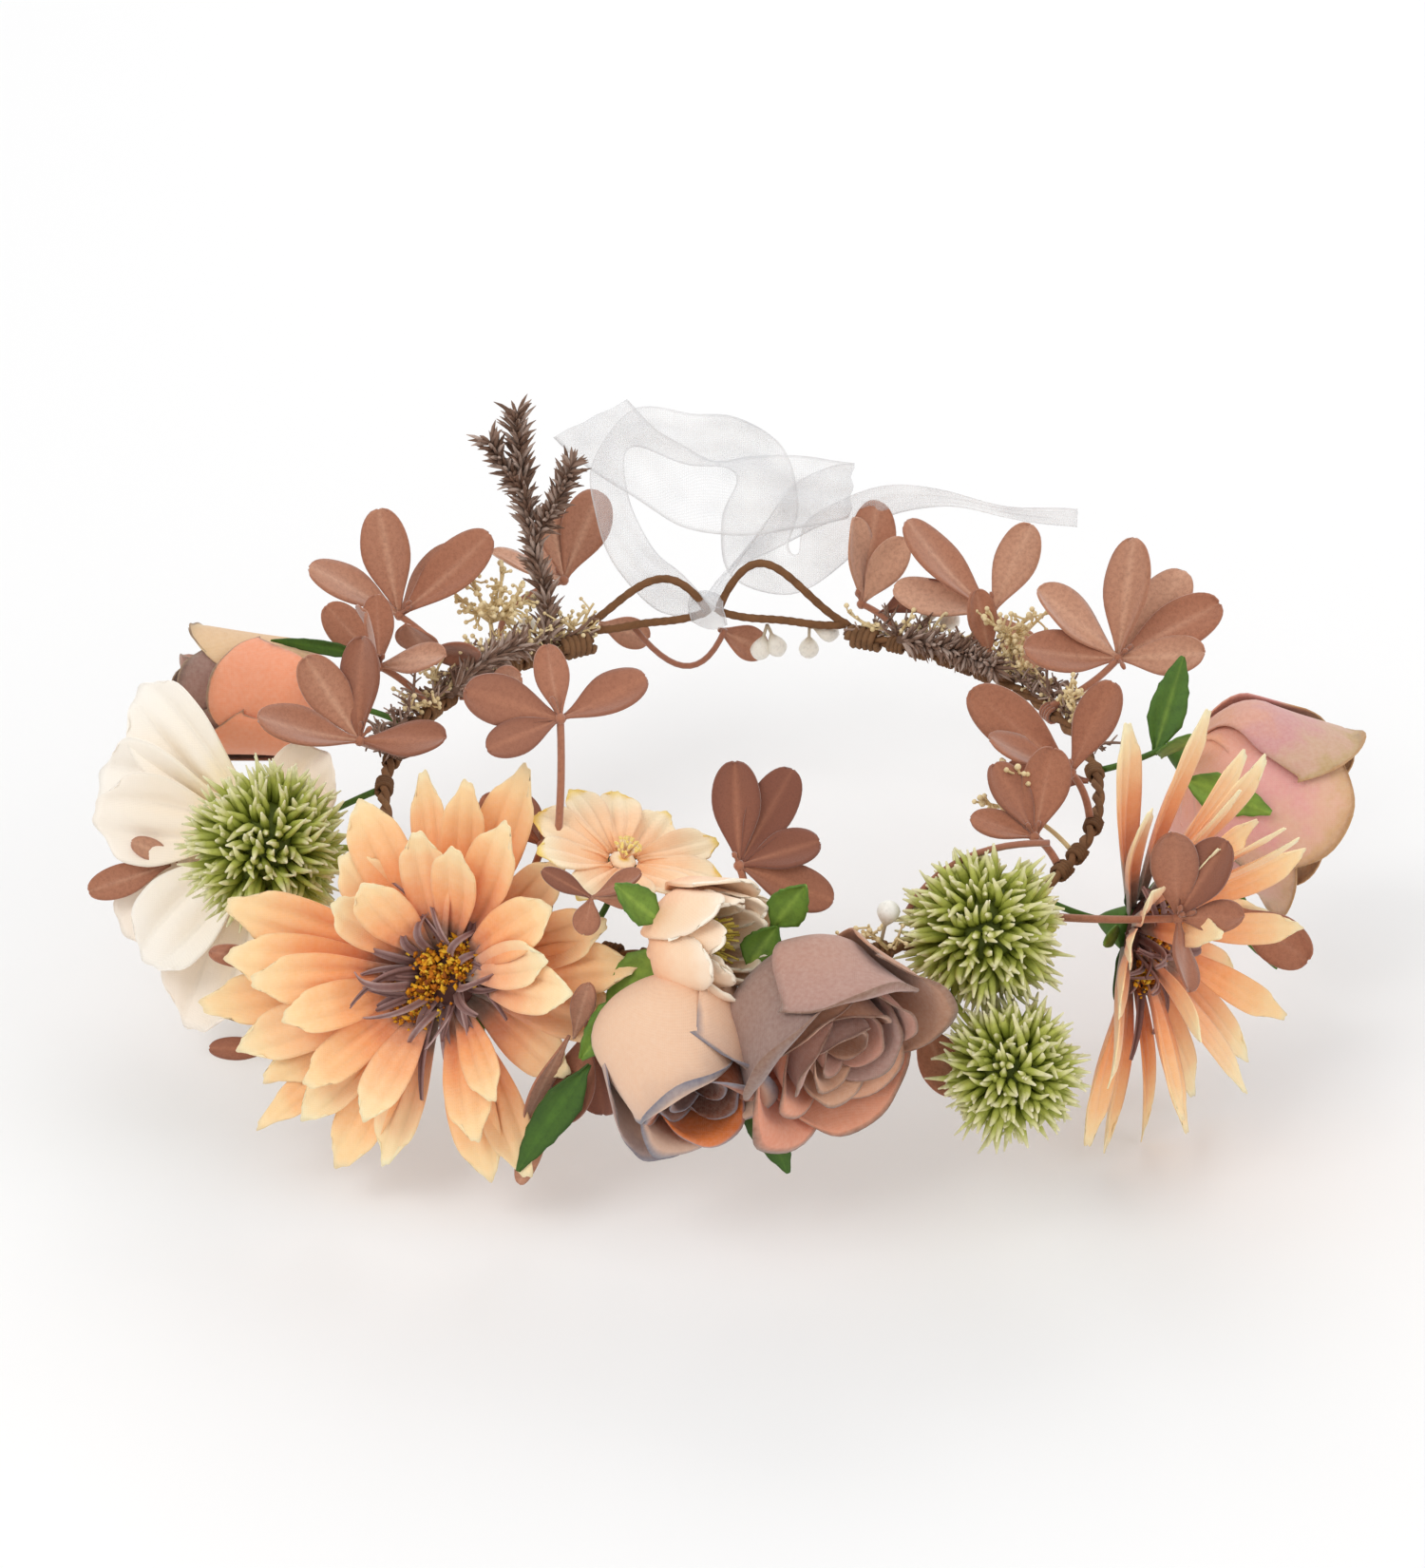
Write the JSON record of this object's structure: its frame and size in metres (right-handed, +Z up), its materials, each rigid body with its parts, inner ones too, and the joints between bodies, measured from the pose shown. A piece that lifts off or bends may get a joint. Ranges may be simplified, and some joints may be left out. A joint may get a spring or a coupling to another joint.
{
  "type": "flower crown",
  "caption": "Open wire head band dressed all round with artificial flowers, thistles, leaf and heather sprigs, and tied at the back with a sheer ribbon through two wire loops.",
  "frame": {"origin": "centre of the head band, on the plane of its wire, where the crown seats on the wearer's head", "axes": "+Z up out of the wearer's head, square to the band; +Y to the back, where the band is open and the ribbon ties; +X to the side of the large rose, the crown's longest extent"},
  "size_m": [0.332, 0.263, 0.1309],
  "materials": {
    "wrapped_wire": "steel wire wound with matt brown paper",
    "floral_tape": "crimped brown crepe tape",
    "organza": "sheer white organza with a soft sheen",
    "berry_white": "satin, off-white",
    "green_leaf": "matt green, fine moulded veins",
    "daisy_disc": "mauve-brown stamens and golden pollen",
    "thistle_green": "green spines with pale tips",
    "filler_cream": "matt cream",
    "heather_brown": "dusty grey-brown",
    "copper_leaf": "flocked suede-like copper brown",
    "cream_petal": "fine polyester cloth, cream-white",
    "peach_petal": "fine polyester cloth, peach to cream",
    "rose_petal": "woven polyester cloth, mauve and salmon dyed"
  },
  "bodies": {
    "crown": {"back_leaf_sprig": "copper_leaf", "back_right_leaf_sprig": "copper_leaf", "band_wire": "wrapped_wire", "behind_ribbon_leaf_sprig": "copper_leaf", "cream_bud_calyx": "green_leaf", "cream_bud_inner_petals": "peach_petal", "cream_bud_outer_petals": "peach_petal", "front_left_leaf_sprig": "copper_leaf", "front_lower_leaf_sprig": "copper_leaf", "front_right_leaf_sprig": "copper_leaf", "front_rose_calyx": "green_leaf", "front_rose_inner_petals": "rose_petal", "front_rose_outer_petals": "rose_petal", "front_rosebud_calyx": "green_leaf", "front_rosebud_inner_petals": "rose_petal", "front_rosebud_outer_petals": "rose_petal", "green_leaves": "green_leaf", "inner_cream_filler": "filler_cream", "inner_right_leaf_sprig": "copper_leaf", "left_cream_filler": "filler_cream", "left_daisy_calyx": "green_leaf", "left_daisy_disc": "daisy_disc", "left_daisy_inner_petals": "peach_petal", "left_daisy_outer_petals": "peach_petal", "left_heather_sprig": "heather_brown", "left_rose_calyx": "green_leaf", "left_rose_inner_petals": "rose_petal", "left_rose_outer_petals": "rose_petal", "left_side_leaf_sprig": "copper_leaf", "left_thistle": "thistle_green", "left_tie_loop": "wrapped_wire", "left_upper_leaf_sprig": "copper_leaf", "loop_bindings": "floral_tape", "lower_right_thistle": "thistle_green", "organza_ribbon": "organza", "right_cream_filler": "filler_cream", "right_daisy_calyx": "green_leaf", "right_daisy_disc": "daisy_disc", "right_daisy_inner_petals": "peach_petal", "right_daisy_outer_petals": "peach_petal", "right_heather_sprig": "heather_brown", "right_leaf_sprig": "copper_leaf", "right_rose_calyx": "green_leaf", "right_rose_inner_petals": "rose_petal", "right_rose_outer_petals": "rose_petal", "right_tie_loop": "wrapped_wire", "small_daisy_calyx": "green_leaf", "small_daisy_petals": "peach_petal", "stem_tape_wraps": "floral_tape", "upper_right_thistle": "thistle_green", "white_berries": "berry_white", "white_flower_calyx": "green_leaf", "white_flower_inner_petals": "cream_petal", "white_flower_outer_petals": "cream_petal"},
    "heather_spike_body": {"heather_spike": "heather_brown"},
    "tall_sprig_body": {"tall_leaf_sprig": "copper_leaf"},
    "centre_sprig_body": {"centre_leaf_sprig": "copper_leaf"},
    "right_back_sprig_body": {"right_back_leaf_sprig": "copper_leaf"},
    "left_back_sprig_body": {"left_back_leaf_sprig": "copper_leaf"}
  },
  "joints": [
    {"name": "heather_spike_bend", "type": "hinge", "parent": "crown", "child": "heather_spike_body", "pos_m": [-0.05449, 0.07782, 0], "axis": [-0.8192, -0.5736, 0], "range_deg": [-12, 12]},
    {"name": "tall_sprig_bend", "type": "hinge", "parent": "crown", "child": "tall_sprig_body", "pos_m": [-0.04964, -0.081, 0], "axis": [0.8526, -0.5225, 0], "range_deg": [-20, 4]},
    {"name": "centre_sprig_bend", "type": "hinge", "parent": "crown", "child": "centre_sprig_body", "pos_m": [-0.00083, -0.095, 0], "axis": [1, -0.0087, 0], "range_deg": [-20, 4]},
    {"name": "right_back_sprig_bend", "type": "hinge", "parent": "crown", "child": "right_back_sprig_body", "pos_m": [0.08539, 0.04165, 0], "axis": [-0.4384, 0.8988, 0], "range_deg": [-15, 15]},
    {"name": "left_back_sprig_bend", "type": "hinge", "parent": "crown", "child": "left_back_sprig_body", "pos_m": [-0.07637, 0.05651, 0], "axis": [-0.5948, -0.8039, 0], "range_deg": [-15, 15]}
  ]
}
